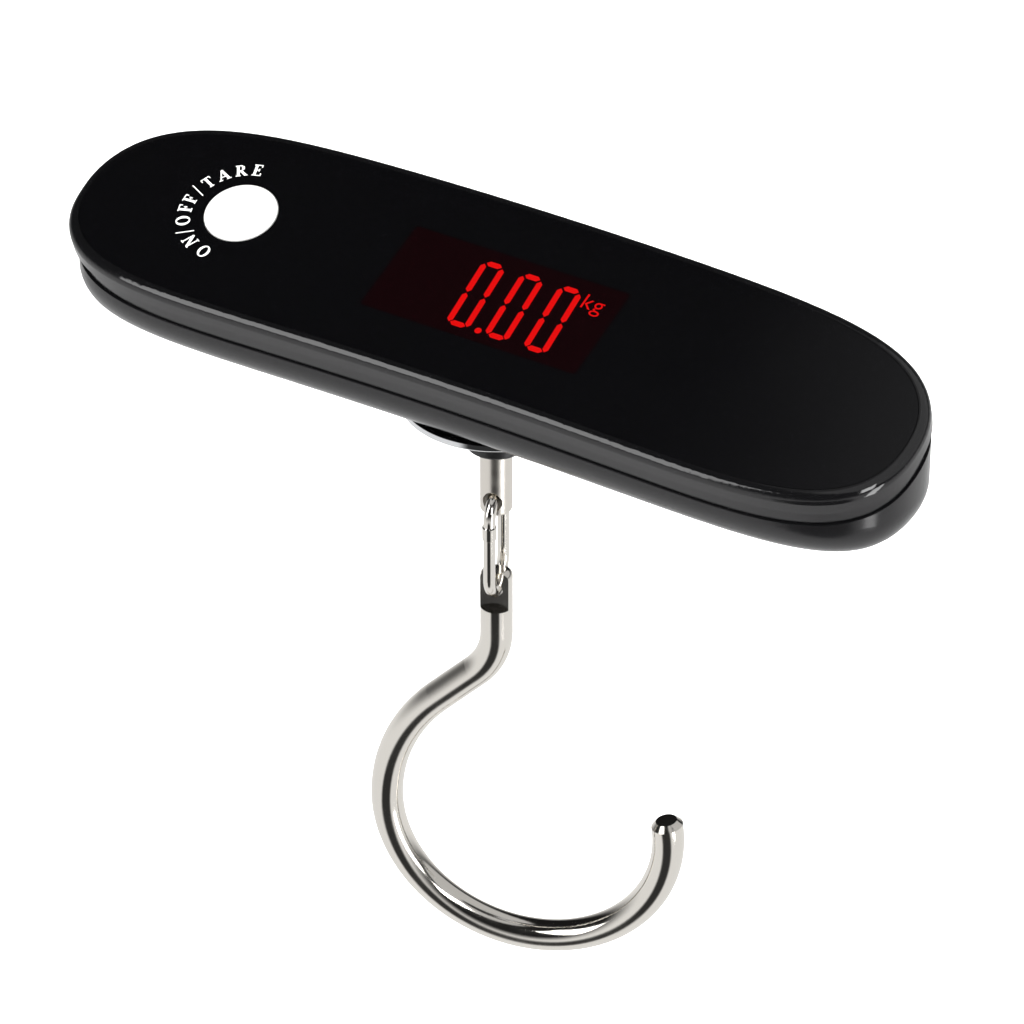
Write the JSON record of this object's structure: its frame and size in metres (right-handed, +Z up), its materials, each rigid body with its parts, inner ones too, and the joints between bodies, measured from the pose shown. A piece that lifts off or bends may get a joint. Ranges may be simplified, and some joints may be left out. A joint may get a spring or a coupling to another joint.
{
  "type": "digital luggage scale",
  "caption": "Hand-held digital luggage scale: a black bar handle with a lit display, a button and a metal hook that hangs from a chain link.",
  "frame": {"origin": "where the hook shaft's axis crosses the flat underside of the handle", "axes": "+Z up along the hook shaft; X along the handle, with the button at -X; -Y towards the person who reads the display"},
  "size_m": [0.1526, 0.0397, 0.1358],
  "materials": {
    "panel_gloss": "gloss black, moulded",
    "window_filter": "gloss, dark red filter",
    "bezel_gloss": "gloss black, moulded",
    "case_black": "semi-gloss black, moulded",
    "gasket_foam": "adhesive foam",
    "button_silver": "satin silver, painted",
    "switch_black": "moulded",
    "board_green": "solder mask",
    "part_black": "moulded epoxy",
    "led_block": "moulded",
    "led_red": "lit light guide",
    "beam_aluminium": "milled",
    "sleeve_brass": "turned",
    "gauge_foil": "foil on film",
    "screw_steel": "zinc plated",
    "shaft_nickel": "satin nickel, turned",
    "bush_black": "moulded",
    "plate_chrome": "polished",
    "hook_nickel": "polished nickel",
    "cell_jacket": "printed sleeve",
    "contact_nickel": "nickel plated strip",
    "lead_sleeve": "extruded"
  },
  "bodies": {
    "casing": {"face_panel": "panel_gloss", "display_window": "window_filter", "panel_gasket": "gasket_foam", "bezel": "bezel_gloss", "upper_casing": "case_black", "lower_casing": "case_black", "casing_screws": "screw_steel", "tact_switch": "switch_black", "main_board": "board_green", "board_screws": "screw_steel", "board_parts": "part_black", "led_display": "led_block", "led_segments": "led_red", "load_cell": "beam_aluminium", "beam_sleeve": "sleeve_brass", "strain_gauges": "gauge_foil", "load_cell_screws": "screw_steel", "thrust_washer": "screw_steel", "guide_bush": "bush_black", "escutcheon": "plate_chrome", "escutcheon_screws": "screw_steel", "battery_cells": "cell_jacket", "battery_contacts": "contact_nickel", "battery_springs": "contact_nickel", "gauge_leads": "lead_sleeve", "battery_leads": "lead_sleeve"},
    "button": {"tare_button": "button_silver", "switch_plunger": "switch_black"},
    "spindle": {"hook_shaft": "shaft_nickel", "shaft_nut": "screw_steel"},
    "link": {"chain_link": "hook_nickel"},
    "hook_body": {"hook": "hook_nickel"},
    "door": {"battery_door": "case_black"}
  },
  "joints": [
    {"name": "button_press", "type": "slide", "parent": "casing", "child": "button", "axis": [0, 0.3007, -0.9537], "range_m": [0, 0.00035], "stiffness_N_per_m": 3000},
    {"name": "hook_swivel", "type": "hinge", "parent": "casing", "child": "spindle", "pos_m": [0, 0, 0], "axis": [0, 0, 1], "continuous": true},
    {"name": "link_swing", "type": "hinge", "parent": "spindle", "child": "link", "pos_m": [0, 0, -0.0196], "axis": [0.2588, -0.9659, 0], "range_deg": [-45, 45]},
    {"name": "hook_swing", "type": "hinge", "parent": "link", "child": "hook_body", "pos_m": [0, 0, -0.0376], "axis": [0.2588, -0.9659, 0], "range_deg": [-35, 35]},
    {"name": "door_lift", "type": "slide", "parent": "casing", "child": "door", "axis": [0, 0, -1], "range_m": [0, 0.02]}
  ]
}
